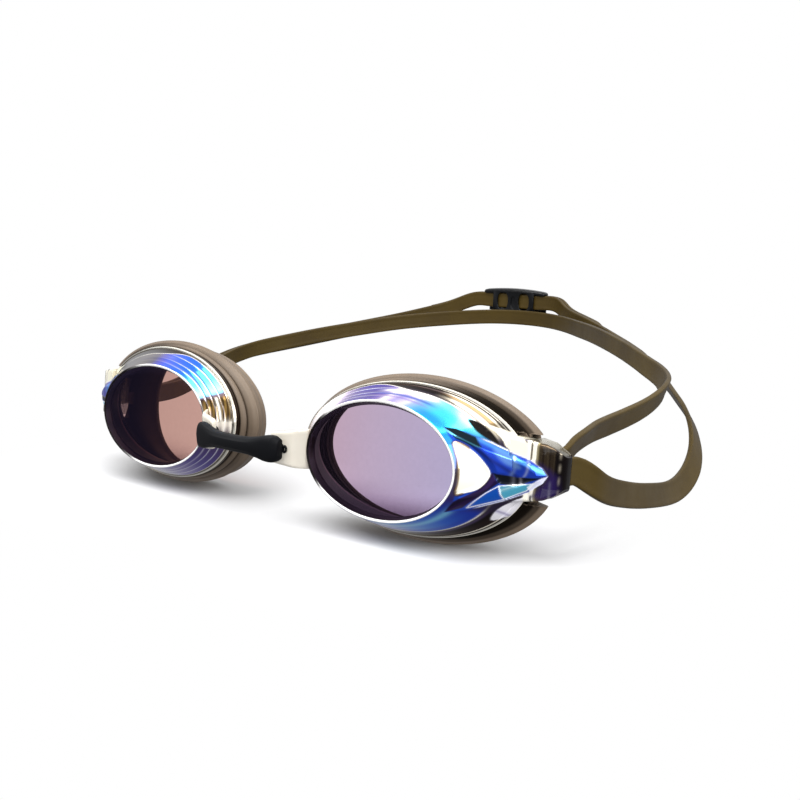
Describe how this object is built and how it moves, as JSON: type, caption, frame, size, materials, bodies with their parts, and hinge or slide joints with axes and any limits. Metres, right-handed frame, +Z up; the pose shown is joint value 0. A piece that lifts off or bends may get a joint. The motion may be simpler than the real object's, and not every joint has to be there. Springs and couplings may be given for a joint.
{
  "type": "swim goggles",
  "caption": "Low-profile swim goggles with mirrored oval eye cups, soft gaskets, a flexible nose bridge and a double strap loop joined by a rear clip.",
  "frame": {"origin": "centre of the overall box in X and Y, at the lowest point in Z, which is the plane the cups stand on", "axes": "+Z up; the wearer looks along -Y, so the lenses face -Y and the strap runs back along +Y; +X is the wearer's left"},
  "size_m": [0.2338, 0.2448, 0.0439],
  "materials": {
    "lens_left": "clear polycarbonate with a pink-violet tint and a blue and gold mirror coating",
    "lens_right": "clear polycarbonate with a pink-violet tint and a blue and gold mirror coating",
    "gasket": "satin taupe silicone",
    "bridge": "soft black thermoplastic elastomer, fine matte skin",
    "strap": "olive silicone band, satin with a soft sheen",
    "clip": "gloss black nylon"
  },
  "bodies": {
    "bridge": {"nose_bridge": "bridge"},
    "cup_left": {"eye_cup_left": "lens_left", "gasket_left": "gasket"},
    "cup_right": {"eye_cup_right": "lens_right", "gasket_right": "gasket"},
    "wrap_left": {"strap_wrap_left": "strap"},
    "wrap_right": {"strap_wrap_right": "strap"},
    "inner_left": {"strap_inner_left": "strap"},
    "inner_right": {"strap_inner_right": "strap"},
    "outer_left": {"strap_outer_left": "strap"},
    "outer_right": {"strap_outer_right": "strap", "strap_tails": "strap"},
    "clip": {"strap_clip": "clip"}
  },
  "joints": [
    {"name": "bridge_flex_left", "type": "hinge", "parent": "bridge", "child": "cup_left", "pos_m": [0.05071, -0.11664, 0.01855], "axis": [0, 0, 1], "range_deg": [-6, 6], "stiffness_Nm_per_rad": 0.06},
    {"name": "bridge_flex_right", "type": "hinge", "parent": "bridge", "child": "cup_right", "pos_m": [0.02671, -0.11664, 0.01855], "axis": [0, 0, 1], "range_deg": [-6, 6], "stiffness_Nm_per_rad": 0.06},
    {"name": "strap_pivot_left", "type": "hinge", "parent": "cup_left", "child": "wrap_left", "pos_m": [0.11162, -0.09749, 0.02001], "axis": [0, 0, 1], "range_deg": [-7, 7]},
    {"name": "strap_pivot_right", "type": "hinge", "parent": "cup_right", "child": "wrap_right", "pos_m": [-0.0342, -0.09749, 0.02001], "axis": [0, 0, 1], "range_deg": [-7, 7]},
    {"name": "inner_strand_tilt", "type": "hinge", "parent": "wrap_left", "child": "inner_left", "pos_m": [0.11162, -0.09749, 0.02001], "axis": [1, 0, 0], "range_deg": [-10, 10]},
    {"name": "outer_strand_tilt", "type": "hinge", "parent": "wrap_left", "child": "outer_left", "pos_m": [0.11162, -0.09749, 0.02001], "axis": [1, 0, 0], "range_deg": [-10, 10]},
    {"name": "inner_strand_bend", "type": "hinge", "parent": "inner_left", "child": "inner_right", "pos_m": [0.03071, 0.06301, 0.03325], "axis": [0, 0, 1], "range_deg": [-2, 2]},
    {"name": "outer_strand_bend", "type": "hinge", "parent": "outer_left", "child": "outer_right", "pos_m": [0.03491, 0.08131, 0.02765], "axis": [0, 0, 1], "range_deg": [-2, 2]},
    {"name": "clip_slide", "type": "slide", "parent": "outer_right", "child": "clip", "axis": [-0.9965, -0.0837, 0], "range_m": [-0.003, 0.003]}
  ],
  "couplings": [
    {"joint": "bridge_flex_right", "follows": "bridge_flex_left", "ratio": -1},
    {"joint": "strap_pivot_left", "follows": "bridge_flex_left", "ratio": -1.1038},
    {"joint": "strap_pivot_right", "follows": "bridge_flex_left", "ratio": 1.134},
    {"joint": "inner_strand_bend", "follows": "bridge_flex_left", "ratio": 0.2378},
    {"joint": "outer_strand_bend", "follows": "bridge_flex_left", "ratio": 0.2148}
  ]
}
